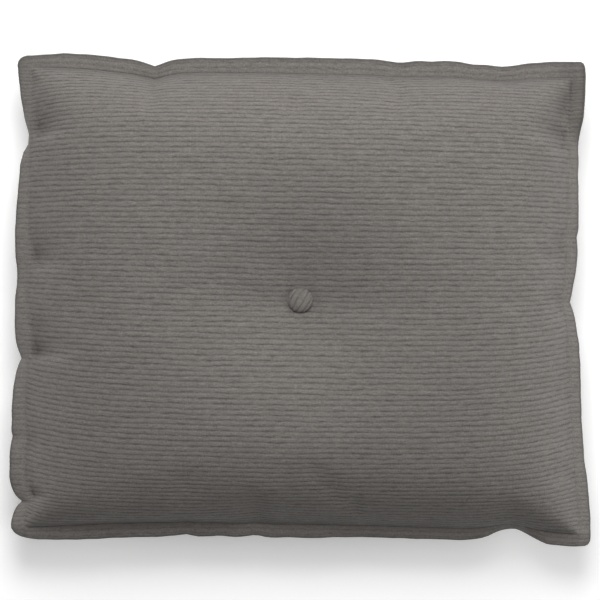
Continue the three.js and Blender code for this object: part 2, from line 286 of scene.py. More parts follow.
SEAM_SIDES = {
    Side.HEAD: SeamSide(flange_width=17.0, draw_in=1.8, rise=36.0, softness=0.7, ripple_start=0.0),
    Side.FOOT: SeamSide(flange_width=15.5, draw_in=7.0, rise=33.8, softness=1.0, ripple_start=1.7),
    Side.LEFT: SeamSide(flange_width=16.0, draw_in=0.0, rise=38.4, softness=4.5, ripple_start=3.1),
    Side.RIGHT: SeamSide(flange_width=14.6, draw_in=10.0, rise=38.4, softness=4.5, ripple_start=4.6),
}


def bell(distance: Array, width: float, sharpness: float = 2.0) -> Array:
    """A bump of height 1: e to the minus (distance over width) to the power of sharpness.

    Args:
        distance: Distances from the middle of the bump.
        width: The distance at which the bump has fallen to about a third.
        sharpness: 1 for a pointed bump, 2 for a round one.

    Returns:
        The height at each distance.
    """
    return np.exp(-np.abs(distance / width) ** sharpness)


def smooth_step(low: float, high: float, value: Array) -> Array:
    """A share that climbs from 0 at low to 1 at high with level ends: 3 u squared minus 2 u cubed."""
    share = np.clip((value - low) / (high - low), 0, 1)
    return share * share * (3 - 2 * share)


def blend_values(start: Array, end: Array, share: Array) -> Array:
    """The value a share of the way from start to end."""
    return start + (end - start) * share


def along_side(table: SideTable, side: Side, along: Array) -> Array:
    """One side's rows of a table of side, place and value, read in between at places along that side."""
    places, values = np.array(sorted(row[1:] for row in table if row[0] is side), float).T
    return np.interp(along, places, values)


@dataclass(frozen=True)
class CushionPlan:
    """The cushion's pattern and filled form, in millimetres.

    A point of the pattern has an x, the place across the cushion, and a cloth row, the length of cloth
    measured up the middle of the face from the foot seam. The pattern is a plain rectangle with a flange of
    one width round it. place carries it to the real outline and swell gives the height of the filling.
    """

    seam_x: float = 283.0
    seam_y: float = 236.0
    flange: float = 14.0
    ply: float = 1.25
    head_left: tuple[float, float] = (-277.5, 241.0)
    head_right: tuple[float, float] = (282.5, 229.5)
    foot_right: tuple[float, float] = (288.5, -242.0)
    foot_left: tuple[float, float] = (-285.0, -235.0)
    seam_height: float = 68.0
    face_swell: float = 88.0
    back_swell: float = 86.0
    rise_blend: float = 1.33
    rise_curve: float = 4.7
    head_radii: tuple[float, float] = (12.0, 7.0)
    foot_radii: tuple[float, float] = (17.0, 7.5)
    draw_in_reach: float = 90.0
    pull_reach: float = 16.0
    dent_fade: float = 9.0
    least_shown: float = 0.08
    folded_from: float = math.radians(48)
    folded_to: float = math.radians(66)
    ripple_lengths: tuple[float, ...] = (23.0, 37.0, 61.0)
    ripple_height: float = 0.12
    rib_pitch: float = 5.58
    gather_reach: float = 80.0
    gather_evenness: float = 0.46
    gather_spread: float = 1.5
    left_lift: float = 4.0
    right_lift: float = 9.0
    lift_flatness: int = 4
    profile_samples: int = 801

    @property
    def half_width(self) -> float:
        """Half the pattern's width over its flange."""
        return self.seam_x + self.flange

    @property
    def half_height(self) -> float:
        """Half the pattern's height over its flange."""
        return self.seam_y + self.flange

    def corner_radius(self, x: Array, y: Array) -> Array:
        """The radius of the flange's corner in the quarter of the pattern that each point is in."""
        return np.where(y > 0, np.where(x < 0, *self.head_radii), np.where(x < 0, *self.foot_radii))

    def inset(self, side: Side, x: Array, y: Array) -> Pair:
        """Measures points of the pattern from one side.

        Args:
            side: The side to measure from.
            x: Places across the pattern.
            y: Places up the pattern.

        Returns:
            Distances inwards from the side's seam, and places along that side.
        """
        return {
            Side.HEAD: (self.seam_y - y, x),
            Side.FOOT: (self.seam_y + y, x),
            Side.LEFT: (self.seam_x + x, y),
            Side.RIGHT: (self.seam_x - x, y),
        }[side]

    def seam_distance(self, x: Array, y: Array) -> Array:
        """The distance to the nearest seam, negative on the flange."""
        return np.minimum(self.seam_x - np.abs(x), self.seam_y - np.abs(y))

    def round_corner(self, x: Array, y: Array) -> Pair:
        """Draws the square steps of each corner onto arcs, as far from the arcs' centre as the longer step.

        Args:
            x: Places across the pattern.
            y: Places up the pattern.

        Returns:
            The same places with the corners rounded.
        """
        radius = self.corner_radius(x, y)
        over_x = np.abs(x) - (self.half_width - radius)
        over_y = np.abs(y) - (self.half_height - radius)
        in_corner = (over_x > 0) & (over_y > 0)
        shrink = np.maximum(over_x, over_y) / np.maximum(np.hypot(over_x, over_y), LEAST_LENGTH)
        round_x = np.sign(x) * (self.half_width - radius + over_x * shrink)
        round_y = np.sign(y) * (self.half_height - radius + over_y * shrink)
        return np.where(in_corner, round_x, x), np.where(in_corner, round_y, y)

    def turn(self, side: Side, along: Array) -> Array:
        """The angle in radians by which the flange turns: its cosine is the share of its width that shows.

        The width shown is the table's, read in between, less the folds of the puckers, plus small ripples.

        Args:
            side: The side that the flange is on.
            along: Places along that side.

        Returns:
            The angle at each place.
        """
        shown = along_side(FLANGE_SHOWN, side, along) + self.ripple(side, along)
        for pucker in PUCKERS:
            if pucker.side is side:
                shown = shown - pucker.fold * bell(along - pucker.at, pucker.width, pucker.sharpness)
        return np.arccos(np.clip(shown / SEAM_SIDES[side].flange_width, self.least_shown, 1.0))

    def hanging(self, side: Side, along: Array, turn: Array) -> Array:
        """How the flange lies: by its table, and 1 where it's folded over at a pucker and so hangs."""
        folded = smooth_step(self.folded_from, self.folded_to, turn)
        return blend_values(along_side(FLANGE_HANG, side, along), 1.0, folded)

    def ripple(self, side: Side, along: Array) -> Array:
        """The sewn edge's small ripples: three sine waves of unlike lengths, added together.

        Args:
            side: The side that the flange is on.
            along: Places along that side.

        Returns:
            How much more of the flange shows at each place.
        """
        start = SEAM_SIDES[side].ripple_start
        waves = [np.sin(2 * np.pi * along / length + start * length) for length in self.ripple_lengths]
        return self.ripple_height * sum(waves)

    def place(self, x: Array, y: Array) -> Triple:
        """Carries pattern points to their real places over the seam's plane.

        The seam's rectangle is stretched between its four real corners. The flange goes on from it, turned by
        its angle. Then each seam is drawn in by its filling and its puckers, less and less with the distance
        from the seam.

        Args:
            x: Places across the pattern.
            y: Places up the pattern.

        Returns:
            Places across and up the real cushion, and heights over the seam's plane, 0 inside the seam.
        """
        x, y = self.round_corner(x, y)
        u = np.clip(x / self.seam_x, -1, 1) / 2 + 0.5
        v = np.clip(y / self.seam_y, -1, 1) / 2 + 0.5
        foot = [blend_values(a, b, u) for a, b in zip(self.foot_left, self.foot_right)]
        head = [blend_values(a, b, u) for a, b in zip(self.head_left, self.head_right)]
        real_x, real_y = (blend_values(a, b, v) for a, b in zip(foot, head))
        height = np.zeros(real_x.shape)
        moves = {}
        for side in Side:
            inwards, along = self.inset(side, x, y)
            inside = np.maximum(inwards, 0)
            pull = np.zeros(real_x.shape)
            for pucker in PUCKERS:
                if pucker.side is side:
                    pull += pucker.pull * bell(along - pucker.at, pucker.width, pucker.sharpness)
            pull *= np.exp(-inside / self.pull_reach)
            half = self.seam_x if side in (Side.HEAD, Side.FOOT) else self.seam_y
            bow = SEAM_SIDES[side].draw_in * (1 - np.clip(along / half, -1, 1) ** 2)
            pull += bow * np.exp(-inside / self.draw_in_reach)
            turn = self.turn(side, along)
            out = np.maximum(-inwards, 0) * SEAM_SIDES[side].flange_width / self.flange
            height -= out * np.sin(turn) * self.hanging(side, along, turn)
            moves[side] = pull - out * np.cos(turn)
        real_x = real_x + moves[Side.LEFT] - moves[Side.RIGHT]
        real_y = real_y + moves[Side.FOOT] - moves[Side.HEAD]
        return real_x, real_y, height

    def swell(self, x: Array, y: Array, full: float) -> Array:
        """The filling's height over the seam's plane.

        It is full times (1 minus the rise_curve-th power of 1 minus j over rise_curve), where j is the joined
        distance from the four seams, and so level where j is over rise_curve. Each distance d is first eased
        to d squared over (d plus its seam's softness), so that the cloth leaves the seam level.

        Args:
            x: Places across the pattern.
            y: Places up the pattern.
            full: The height in the middle of a cushion without a hollow.

        Returns:
            The height at each place, 0 on the flange.
        """
        steps = []
        for side in Side:
            distance = np.maximum(self.inset(side, x, y)[0], LEAST_STEP)
            eased = distance**2 / (distance + SEAM_SIDES[side].softness)
            steps.append(np.maximum(eased / SEAM_SIDES[side].rise, LEAST_STEP))
        joined = sum(step**-self.rise_blend for step in steps) ** (-1 / self.rise_blend)
        short = np.maximum(1 - joined / self.rise_curve, 0)
        return np.where(self.seam_distance(x, y) > 0, full * (1 - short**self.rise_curve), 0.0)

    def dents(self, x: Array, y: Array) -> Array:
        """The depth of the soft dents beside the seams, faded out at the seam itself.

        Args:
            x: Places across the pattern.
            y: Places up the pattern.

        Returns:
            The depth at each place.
        """
        depth = np.zeros(np.broadcast(x, y).shape)
        for dent in DENTS:
            inwards, along = self.inset(dent.side, x, y)
            depth += dent.depth_at(inwards, along) * smooth_step(0, self.dent_fade, inwards)
        return depth

    def profile(self, side: Side) -> Pair:
        """Measures the cloth from one seam to the other over the middle of the face, in short straight steps.

        Args:
            side: HEAD for the line from foot to head, RIGHT for the line from left to right.

        Returns:
            Cloth lengths from the first seam, and the places on the pattern that they reach.
        """
        half = self.seam_y if side is Side.HEAD else self.seam_x
        place = np.linspace(-half, half, self.profile_samples)
        still = np.zeros_like(place)
        points = (still, place) if side is Side.HEAD else (place, still)
        rise = np.diff(self.swell(*points, self.face_swell))
        length = np.concatenate([[0.0], np.cumsum(np.hypot(np.diff(place), rise))])
        return length, place

    @property
    def cloth_height(self) -> float:
        """The length of cloth from foot seam to head seam over the middle of the face."""
        return float(self.profile(Side.HEAD)[0][-1])

    def cloth_across(self, x: Array) -> Array:
        """Measures the cloth from the middle of the face outwards, on over the flange.

        Args:
            x: Places across the pattern.

        Returns:
            The length of cloth to each place, below 0 on the left.
        """
        length, place = self.profile(Side.RIGHT)
        beyond = np.maximum(np.abs(x) - self.seam_x, 0) * np.sign(x)
        return np.interp(x, place, length) - length[-1] / 2 + beyond

    def row_places(self, x: Array, row: Array) -> Array:
        """Where each cloth row lies up the pattern.

        Over the middle the rows keep their length along the swelling face. At the gathered sides they lie
        more evenly, drawn together by the seam, a little nearer the head, and closer together at each pucker.

        Args:
            x: Places across the pattern.
            row: Cloth rows, in millimetres from the foot seam.

        Returns:
            Places up the pattern.
        """
        length, place = self.profile(Side.HEAD)
        total = length[-1]
        share = np.clip(row / total, 0, 1)
        middle = np.interp(share * total, length, place)
        even = blend_values(-self.seam_y, self.seam_y, share)
        lift = np.where(x < 0, self.left_lift, self.right_lift) * (1 - (2 * share - 1) ** self.lift_flatness)
        side = blend_values(even, middle, self.gather_evenness) + lift
        gathered = np.exp(-np.maximum(self.seam_x - np.abs(x), 0) / self.gather_reach)
        beyond = np.maximum(row - total, 0) + np.minimum(row, 0)
        y = blend_values(middle, side, gathered) + beyond
        return y - self.drawn_together(x, y)

    def drawn_together(self, x: Array, y: Array) -> Array:
        """How far the ribs beside the side puckers move towards them.

        Each pucker's share is t times e to the half of (1 minus t squared), where t is the distance along the
        side over the pucker's spread.

        Args:
            x: Places across the pattern.
            y: Places up the pattern.

        Returns:
            The moves up the pattern that are taken off.
        """
        shift = np.zeros(np.broadcast(x, y).shape)
        for pucker in PUCKERS:
            if pucker.gather:
                inwards, along = self.inset(pucker.side, x, y)
                t = (along - pucker.at) / (self.gather_spread * pucker.width)
                near = bell(inwards, self.pull_reach, 1.0)
                shift += pucker.gather * t * np.exp((1 - t * t) / 2) * near
        return shift


@dataclass(frozen=True)
class ButtonHollow:
    """The hollow that the button's thread draws in the face, in millimetres."""

    depth: float = 20.6
    radius: float = 82.0
    roundness: float = 2.4
    core_depth: float = 5.0
    core_radius: float = 60.0
    crease_depth: float = 3.0
    crease_width: float = 30.0
    crease_reach: float = 150.0
    seat_depth: float = 3.4
    seat_radius: float = 18.0
    seat_flatness: float = 4.0

    def depth_at(self, x: Array, y: Array) -> Array:
        """A broad bell, a narrower one, a level crease through the button and its flat seat, added together.

        Args:
            x: Places across the pattern.
            y: Places up the pattern.

        Returns:
            The depth at each place.
        """
        radius = np.hypot(x, y)
        broad = self.depth * bell(radius, self.radius, self.roundness)
        core = self.core_depth * bell(radius, self.core_radius)
        crease = self.crease_depth * bell(y, self.crease_width) * bell(x, self.crease_reach)
        return broad + core + crease + self.seat_depth * bell(radius, self.seat_radius, self.seat_flatness)


def spline_matrix(places: Array, count: int) -> Array:
    """Weights that read a row of count samples at fractional places with a Catmull-Rom spline.

    Args:
        places: Fractional sample numbers to read at.
        count: How many samples the row has.

    Returns:
        A matrix with a row for each place and a column for each sample.
    """
    base = np.clip(np.floor(places).astype(int), 0, count - 2)
    t = places - base
    weights = np.stack(
        [
            (-t + 2 * t**2 - t**3) / 2,
            (2 - 5 * t**2 + 3 * t**3) / 2,
            (t + 4 * t**2 - 3 * t**3) / 2,
            (-(t**2) + t**3) / 2,
        ]
    )
    matrix = np.zeros((len(places), count))
    rows = np.arange(len(places))
    for offset, weight in zip((-1, 0, 1, 2), weights):
        np.add.at(matrix, (rows, np.clip(base + offset, 0, count - 1)), weight)
    return matrix


@dataclass(frozen=True)
class ChanceField:
    """Seeded chance numbers on a coarse grid of the cloth, read in between with splines."""

    seed: int
    cell_across: float
    cell_along: float

    def over(self, x: Array, rows: Array) -> Array:
        """The field over a grid of cloth.

        Args:
            x: Places across, rising, in millimetres.
            rows: Cloth rows, rising, in millimetres.

        Returns:
            A grid of numbers about zero, with a spread of about 1.
        """
        across = np.arange(math.ceil((x[-1] - x[0]) / self.cell_across) + 1)
        along = np.arange(math.ceil((rows[-1] - rows[0]) / self.cell_along) + 1)
        numbers = np.random.default_rng(self.seed).normal(size=(len(along), len(across)))
        to_x = spline_matrix((x - x[0]) / self.cell_across, len(across))
        to_rows = spline_matrix((rows - rows[0]) / self.cell_along, len(along))
        return to_rows @ numbers @ to_x.T


def number_grid(rows: int, columns: int, first: int = 0) -> Array:
    """The point numbers of a grid of points that are stored row by row."""
    return first + np.arange(rows * columns).reshape(rows, columns)


def index_faces(index: Array) -> Array:
    """The quads of a grid of point numbers, wound to face up."""
    corners = [index[:-1, :-1], index[:-1, 1:], index[1:, 1:], index[1:, :-1]]
    return np.stack(corners, axis=-1).reshape(-1, 4)


def loop_of(index: Array) -> Array:
    """The border of a grid of point numbers as one loop, counter-clockwise from its first corner."""
    return np.concatenate([index[0, :-1], index[:-1, -1], index[-1, :0:-1], index[:0:-1, 0]])


def grid_normals(points: Array) -> Array:
    """Unit normals of a grid of points: the cross product of its two central differences.

    Args:
        points: The grid's points.

    Returns:
        A normal for each point.
    """
    across = np.gradient(points, axis=1)
    along = np.gradient(points, axis=0)
    normal = np.cross(across, along)
    return normal / np.maximum(np.linalg.norm(normal, axis=-1, keepdims=True), LEAST_LENGTH)


def mesh_from(name: str, points: Array, quads: Array, triangles: Array | None = None) -> bpy.types.Object:
    """Puts points in millimetres and faces into a new smooth mesh object in metres.

    Args:
        name: The piece's name.
        points: Point positions, three columns.
        quads: Point numbers of the four-sided faces.
        triangles: Point numbers of the three-sided faces, if there are any.

    Returns:
        The object, linked into the scene and sitting at the origin.
    """
    triangles = np.zeros((0, 3), int) if triangles is None else triangles
    mesh = bpy.data.meshes.new(name)
    mesh.vertices.add(len(points))
    mesh.vertices.foreach_set("co", (points * MM).astype(np.float32).ravel())
    corners = np.concatenate([quads.ravel(), triangles.ravel()]).astype(np.int32)
    starts = np.concatenate([np.arange(len(quads)) * 4, len(quads) * 4 + np.arange(len(triangles)) * 3])
    mesh.loops.add(len(corners))
    mesh.loops.foreach_set("vertex_index", corners)
    mesh.polygons.add(len(starts))
    mesh.polygons.foreach_set("loop_start", starts.astype(np.int32))
    mesh.polygons.foreach_set("use_smooth", np.ones(len(starts), bool))
    mesh.update(calc_edges=True)
    mesh.validate()
    piece = bpy.data.objects.new(name, mesh)
    bpy.context.scene.collection.objects.link(piece)
    return piece


def give_values(piece: bpy.types.Object, name: str, values: Array) -> None:
    """Stores one number for each point of the piece as an attribute that its material reads."""
    layer = piece.data.attributes.new(name=name, type="FLOAT", domain="POINT")
    layer.data.foreach_set("value", values.astype(np.float32))


def give_uv(piece: bpy.types.Object, places: Array) -> None:
    """Stores each point's place on the cloth, in metres, as the piece's UV map.

    Args:
        piece: The piece.
        places: Places across and along the cloth, in millimetres, one for each point.
    """
    layer = piece.data.uv_layers.new(name=CLOTH_MAP)
    corners = np.zeros(len(piece.data.loops), np.int32)
    piece.data.loops.foreach_get("vertex_index", corners)
    layer.data.foreach_set("uv", (places[corners] * MM).astype(np.float32).ravel())


@dataclass
class FillingPress:
    """Blender's cloth simulation that swells the two panels against their seam.

    It starts from the planned form, lets the cloth grow a little so that it has to wrinkle where the seam
    gathers it, and keeps only how far each point has moved, capped.
    """

    pressure: float = 2.5
    growth: float = -0.002
    seam_growth: float = -0.03
    seam_zone: float = 32.0
    bending: float = 3.5
    hold: float = 0.02
    frames: int = 24
    cap: float = 9.0
    button_grip: float = 17.0
    weight_steps: int = 50
    quality: int = 6
    mass: float = 0.3
    stretch_stiffness: float = 20.0
    shear_stiffness: float = 8.0
    damping: float = 8.0
    bending_damping: float = 0.8
    air_damping: float = 3.0

    def settle(self, plan: CushionPlan, face: Array, back: Array, x: Array, y: Array) -> Pair:
        """Runs the simulation.

        Args:
            plan: The cushion's plan.
            face: Grid of the face's planned points.
            back: Grid of the back's planned points, whose border is the face's.
            x: Pattern places across, for each grid point.
            y: Pattern places up, for each grid point.

        Returns:
            How far each point of the face and of the back has moved, in millimetres.
        """
        rows, columns = face.shape[:2]
        face_index = number_grid(rows, columns)
        back_index = face_index.copy()
        back_index[1:-1, 1:-1] = number_grid(rows - 2, columns - 2, rows * columns)
        points = np.concatenate([face.reshape(-1, 3), back[1:-1, 1:-1].reshape(-1, 3)])
        quads = np.concatenate([index_faces(face_index), index_faces(back_index)[:, ::-1]])
        cloth = mesh_from("filling_press", points, quads)
        seam_distance = plan.seam_distance(x, y)
        edge = seam_distance < LEAST_STEP
        gripped = edge | (np.hypot(x, y) < self.button_grip)
        pin = np.where(gripped, 1.0, self.hold)
        near_seam = 1 - smooth_step(0, self.seam_zone, seam_distance)
        back_pin = np.where(edge, 1.0, self.hold)
        self.weight_group(cloth, "grip", np.concatenate([pin.ravel(), back_pin[1:-1, 1:-1].ravel()]))
        self.weight_group(cloth, "slack", np.concatenate([near_seam.ravel(), near_seam[1:-1, 1:-1].ravel()]))
        self.add_cloth(cloth)
        scene = bpy.context.scene
        for number in range(1, self.frames + 1):
            scene.frame_set(number)
        evaluated = cloth.evaluated_get(bpy.context.evaluated_depsgraph_get())
        settled = np.zeros(len(points) * 3, np.float32)
        evaluated.data.vertices.foreach_get("co", settled)
        moved = self.capped(settled.reshape(-1, 3).astype(float) / MM - points)
        scene.frame_set(1)
        bpy.data.objects.remove(cloth, do_unlink=True)
        log.info("filling press: %d points, moved %.1f mm at most", len(points), np.abs(moved).max())
        return moved[face_index], moved[back_index]

    def weight_group(self, cloth: bpy.types.Object, name: str, weights: Array) -> None:
        """Writes a vertex group, one call for each step of weight.

        Args:
            cloth: The pressed mesh.
            name: The group's name.
            weights: A weight from 0 to 1 for each point.
        """
        group = cloth.vertex_groups.new(name=name)
        steps = np.round(np.clip(weights, 0, 1) * self.weight_steps).astype(int)
        for step in np.unique(steps):
            group.add(np.flatnonzero(steps == step).tolist(), float(step) / self.weight_steps, "REPLACE")

    def add_cloth(self, cloth: bpy.types.Object) -> None:
        """Adds the cloth modifier with its pressure, pins and slack, and no gravity.

        Args:
            cloth: The pressed mesh, with its groups of pinned and slack points.
        """
        modifier = cloth.modifiers.new("filling", "CLOTH")
        settings = modifier.settings
        settings.quality = self.quality
        settings.mass = self.mass
        settings.tension_stiffness = self.stretch_stiffness
        settings.compression_stiffness = self.stretch_stiffness
        settings.shear_stiffness = self.shear_stiffness
        settings.bending_stiffness = self.bending
        settings.tension_damping = self.damping
        settings.compression_damping = self.damping
        settings.shear_damping = self.damping
        settings.bending_damping = self.bending_damping
        settings.air_damping = self.air_damping
        settings.use_pressure = True
        settings.uniform_pressure_force = self.pressure
        settings.vertex_group_mass = "grip"
        settings.vertex_group_shrink = "slack"
        settings.shrink_min = self.growth
        settings.shrink_max = self.seam_growth
        settings.effector_weights.gravity = 0
        modifier.collision_settings.use_collision = False
        modifier.point_cache.frame_start = 1
        modifier.point_cache.frame_end = self.frames

    def capped(self, moved: Array) -> Array:
        """Softly limits each move: its length becomes cap times the hyperbolic tangent of length over cap."""
        length = np.linalg.norm(moved, axis=-1, keepdims=True)
        return moved * self.cap * np.tanh(length / self.cap) / np.maximum(length, LEAST_LENGTH)


@dataclass
class Cushion:
    """The filled cushion: face, back and flange as one closed mesh with its ribs raised."""

    plan: CushionPlan = field(default_factory=CushionPlan)
    hollow: ButtonHollow = field(default_factory=ButtonHollow)
    press: FillingPress = field(default_factory=FillingPress)
    rib_height: float = 0.4
    back_rib_height: float = 0.7
    rib_roundness: float = 0.7
    rib_wander: float = 0.35
    wander_fade: float = 25.0
    groove_width: float = 2.6
    groove_depth: float = 0.3
    groove_flatness: float = 0.7
    fold_flatness: tuple[float, float] = (0.35, 0.75)
    fold_fade: float = 6.0
    uneven_share: float = 0.22
    uneven_limits: tuple[float, float] = (0.4, 1.6)
    pressed_fade: float = 2.5
    # How far the painted shade of the folded rim reaches in over the flange.
    painted_fold_shade_width: float = 1.1
    rows_in_rib: tuple[float, ...] = (0.0, 0.2, 0.5, 0.8)
    least_row_gap: float = 0.6
    flange_steps: tuple[float, ...] = (0.12, 0.35, 0.62, 0.86, 1.0)
    fold_angles: tuple[float, ...] = (50.0, 0.0, -50.0)
    finest_step: float = 1.6
    widest_step: float = 6.2
    step_growth: float = 30.0
    press_columns: int = 101
    press_rows: int = 87
    wander: ChanceField = ChanceField(seed=7, cell_across=38, cell_along=14)
    unevenness: ChanceField = ChanceField(seed=8, cell_across=16, cell_along=4)

    def face_height(self, x: Array, y: Array) -> Array:
        """The face's height over the seam's plane: swell less the dents and the hollow, faded at the seam.

        Args:
            x: Places across the pattern.
            y: Places up the pattern.

        Returns:
            The height at each place.
        """
        body = self.plan.swell(x, y, self.plan.face_swell)
        share = body / self.plan.face_swell
        return body - self.hollow.depth_at(x, y) * share - self.plan.dents(x, y)

    def back_height(self, x: Array, y: Array) -> Array:
        """The back's height under the seam's plane, flat where the cushion rests."""
        return -np.minimum(self.plan.swell(x, y, self.plan.back_swell), self.plan.seam_height)

    def columns(self) -> Array:
        """Chooses the columns: fine steps at the seam that grow towards the middle, and some on the flange.

        Returns:
            Pattern places across, rising, the same to both sides of the middle.
        """
        plan = self.plan
        places = [0.0]
        while places[-1] < plan.seam_x:
            growth = 1 - math.exp(-places[-1] / self.step_growth)
            places.append(places[-1] + self.finest_step + (self.widest_step - self.finest_step) * growth)
        inwards = np.array(places) * plan.seam_x / places[-1]
        right = plan.seam_x - inwards[::-1]
        flange = plan.seam_x + plan.flange * np.array(self.flange_steps)
        half = np.concatenate([right[1:], flange])
        return np.concatenate([-half[::-1], [0.0], half])

    def rows(self) -> Array:
        """Chooses the cloth rows from the foot edge to the head edge: the same few steps in every rib.

        Every second row falls on a rib's crest or in a valley, so that the back can do with those.

        Returns:
            Cloth rows, rising, an odd number of them.
        """
        plan = self.plan
        flange_ribs = math.ceil(plan.flange / plan.rib_pitch)
        count = round(plan.cloth_height / plan.rib_pitch)
        ribs = np.arange(-flange_ribs, count + flange_ribs)
        rows = (ribs[:, None] + np.array(self.rows_in_rib)).ravel() * self.pitch
        low, high = -plan.flange, plan.cloth_height + plan.flange
        inside = np.flatnonzero((rows > low + self.least_row_gap) & (rows < high - self.least_row_gap))
        first = inside[0] + 1 - inside[0] % 2
        last = inside[-1] - 1 + inside[-1] % 2
        return np.concatenate([[low], rows[first : last + 1], [high]])

    @property
    def pitch(self) -> float:
        """The rib pitch, fitted to a whole number of ribs between the seams."""
        return self.plan.cloth_height / round(self.plan.cloth_height / self.plan.rib_pitch)

    def lay(self, x: Array, row: Array, height_of: HeightOf) -> Pair:
        """Lays pattern points on the planned form.

        Args:
            x: Pattern places across.
            row: Cloth rows.
            height_of: The method that gives the sheet's height over the seam's plane.

        Returns:
            The grid of points, and the pattern places up.
        """
        plan = self.plan
        y = plan.row_places(x, row)
        real_x, real_y, flange_height = plan.place(x, y)
        z = plan.seam_height + height_of(x, y) + flange_height
        return np.stack([real_x, real_y, z], axis=-1), y

    def settled_moves(self) -> tuple[Array, Array, Array, Array]:
        """Returns:
            The grid's places across, its cloth rows, and the moves of the face and of the back.
        """
        plan = self.plan
        x = np.linspace(-plan.seam_x, plan.seam_x, self.press_columns)
        row = np.linspace(0, plan.cloth_height, self.press_rows)
        grid_x, grid_row = np.meshgrid(x, row)
        face, y = self.lay(grid_x, grid_row, self.face_height)
        back, _ = self.lay(grid_x, grid_row, self.back_height)
        moves = self.press.settle(plan, face, back, grid_x, y)
        return x, row, *moves

    def rib_relief(self, row: Array, height: float) -> Array:
        """Half a sine wave for each rib to the power of rib_roundness, less a half, times height."""
        return height * (np.abs(np.sin(np.pi * row / self.pitch)) ** self.rib_roundness - 0.5)

    def sheet_offset(self, distance: Array) -> Array:
        """How far the cloth's outer face stands off the planned form: a ply, less the seam's groove."""
        return self.plan.ply * (1 - self.groove_depth * bell(distance, self.groove_width))

    def build(self) -> bpy.types.Object:
        """Makes the cushion's mesh.

        Face and back are laid on the planned form and moved as the filling press moved them. Then each is set
        off along its normals by the cloth's thickness and the relief of its ribs, which is faint where the
        cloth is sewn or folded.

        Returns:
            The piece, with the places of its cloth as a UV map.
        """
        plan = self.plan
        x, rows = self.columns(), self.rows()
        press_x, press_rows, face_moved, back_moved = self.settled_moves()
        across = spline_matrix(np.interp(x, press_x, np.arange(len(press_x))), len(press_x))
        along = spline_matrix(np.interp(rows, press_rows, np.arange(len(press_rows))), len(press_rows))
        grid_x, grid_row = np.meshgrid(x, rows)
        row_from_seam = np.minimum(grid_row, plan.cloth_height - grid_row)
        wander = self.rib_wander * self.wander.over(x, rows) * smooth_step(0, self.wander_fade, row_from_seam)
        face, y = self.lay(grid_x, grid_row + wander, self.face_height)
        back, _ = self.lay(grid_x, grid_row, self.back_height)
        face += np.einsum("rj,jic,ki->rkc", along, face_moved, across)
        back += np.einsum("rj,jic,ki->rkc", along, back_moved, across)
        back[..., 2] = np.maximum(back[..., 2], plan.ply + self.back_rib_height)

        distance = plan.seam_distance(grid_x, y)
        offset = self.sheet_offset(distance)
        sewn = 1 - self.groove_flatness * bell(distance, self.groove_width)
        folded = blend_values(*self.fold_flatness, smooth_step(0, self.fold_fade, plan.flange + distance))
        shown = sewn * np.where(distance > 0, 1.0, folded)
        uneven = np.clip(1 + self.uneven_share * self.unevenness.over(x, rows), *self.uneven_limits)
        relief = self.rib_relief(grid_row, self.rib_height) * shown * uneven
        back_relief = self.rib_relief(grid_row, self.back_rib_height) * shown
        face_points = face + grid_normals(face) * (offset + relief)[..., None]
        back_points = back - grid_normals(back) * (offset + back_relief)[..., None]
        back_points[..., 2] = np.maximum(back_points[..., 2], 0)
        return self.close(face_points, back_points[::2], grid_x, y, grid_row)

    def close(self, face: Array, back: Array, x: Array, y: Array, row: Array) -> bpy.types.Object:
        """Joins face and back round the flange's folded edge into one closed mesh.

        The fold is three rings of points on a half circle. The back has every second row of the face, so the
        last strip of the fold has three triangles for two face rows at the sides.

        Args:
            face: Grid of the face's points.
            back: Grid of the back's points, every second row.
            x: Pattern places across, for each face point.
            y: Pattern places up, for each face point.
            row: Cloth rows, for each face point.

        Returns:
            The piece, with its UV map and its attributes.
        """
        rows, columns = face.shape[:2]
        back_rows = back.shape[0]
        face_index = number_grid(rows, columns)
        border = loop_of(face_index)
        edge = face.reshape(-1, 3)[border]
        back_full = np.repeat(back, 2, axis=0)[:rows].copy()
        back_full[1:-1:2] = (back[:-1] + back[1:]) / 2
        back_edge = back_full.reshape(-1, 3)[border]
        middle = (edge + back_edge) / 2
        tangent = np.roll(middle, -1, axis=0) - np.roll(middle, 1, axis=0)
        outward = np.cross(tangent, edge - back_edge)
        outward /= np.maximum(np.linalg.norm(outward, axis=-1, keepdims=True), LEAST_LENGTH)
        half = (edge - back_edge) / 2
        radius = np.linalg.norm(half, axis=-1, keepdims=True)
        angles = np.radians(self.fold_angles)
        rings = [middle + half * math.sin(a) + outward * radius * math.cos(a) for a in angles]

        count = len(border)
        starts = rows * columns + np.arange(len(rings)) * count
        loops = [border] + [start + np.arange(count) for start in starts]
        following = np.roll(np.arange(count), -1)
        strips = [np.stack([a, b, b[following], a[following]], axis=-1) for a, b in zip(loops, loops[1:])]
        first_back = rows * columns + len(rings) * count
        back_index = number_grid(back_rows, columns, first_back)
        last_quads, last_triangles = self.last_strip(loops[-1], back_index, rows, columns)
        back_quads = index_faces(back_index)[:, ::-1]
        quads = np.concatenate([index_faces(face_index), *strips, last_quads, back_quads])
        points = np.concatenate([face.reshape(-1, 3), *rings, back.reshape(-1, 3)])
        piece = mesh_from("cushion_body", points, quads, last_triangles)
        cloth = np.stack([self.plan.cloth_across(x), row], axis=-1)
        border_cloth = cloth.reshape(-1, 2)[border]
        places = [cloth.reshape(-1, 2), *[border_cloth] * len(rings), cloth[::2].reshape(-1, 2)]
        give_uv(piece, np.concatenate(places))
        pressed = smooth_step(-self.pressed_fade, self.pressed_fade, -self.plan.seam_distance(x, y))
        # Painted shade of the folded rim: 1 at the fold, where the cloth turns away from the light, fading
        # inwards.
        painted_fold_shade = bell(self.plan.flange + self.plan.seam_distance(x, y), self.painted_fold_shade_width, 1.0)
        fold = np.ones(len(rings) * count)
        for name, values in ((PRESSED, pressed), (PAINTED_FOLD_SHADE, painted_fold_shade)):
            give_values(piece, name, np.concatenate([values.ravel(), fold, values[::2].ravel()]))
        return piece

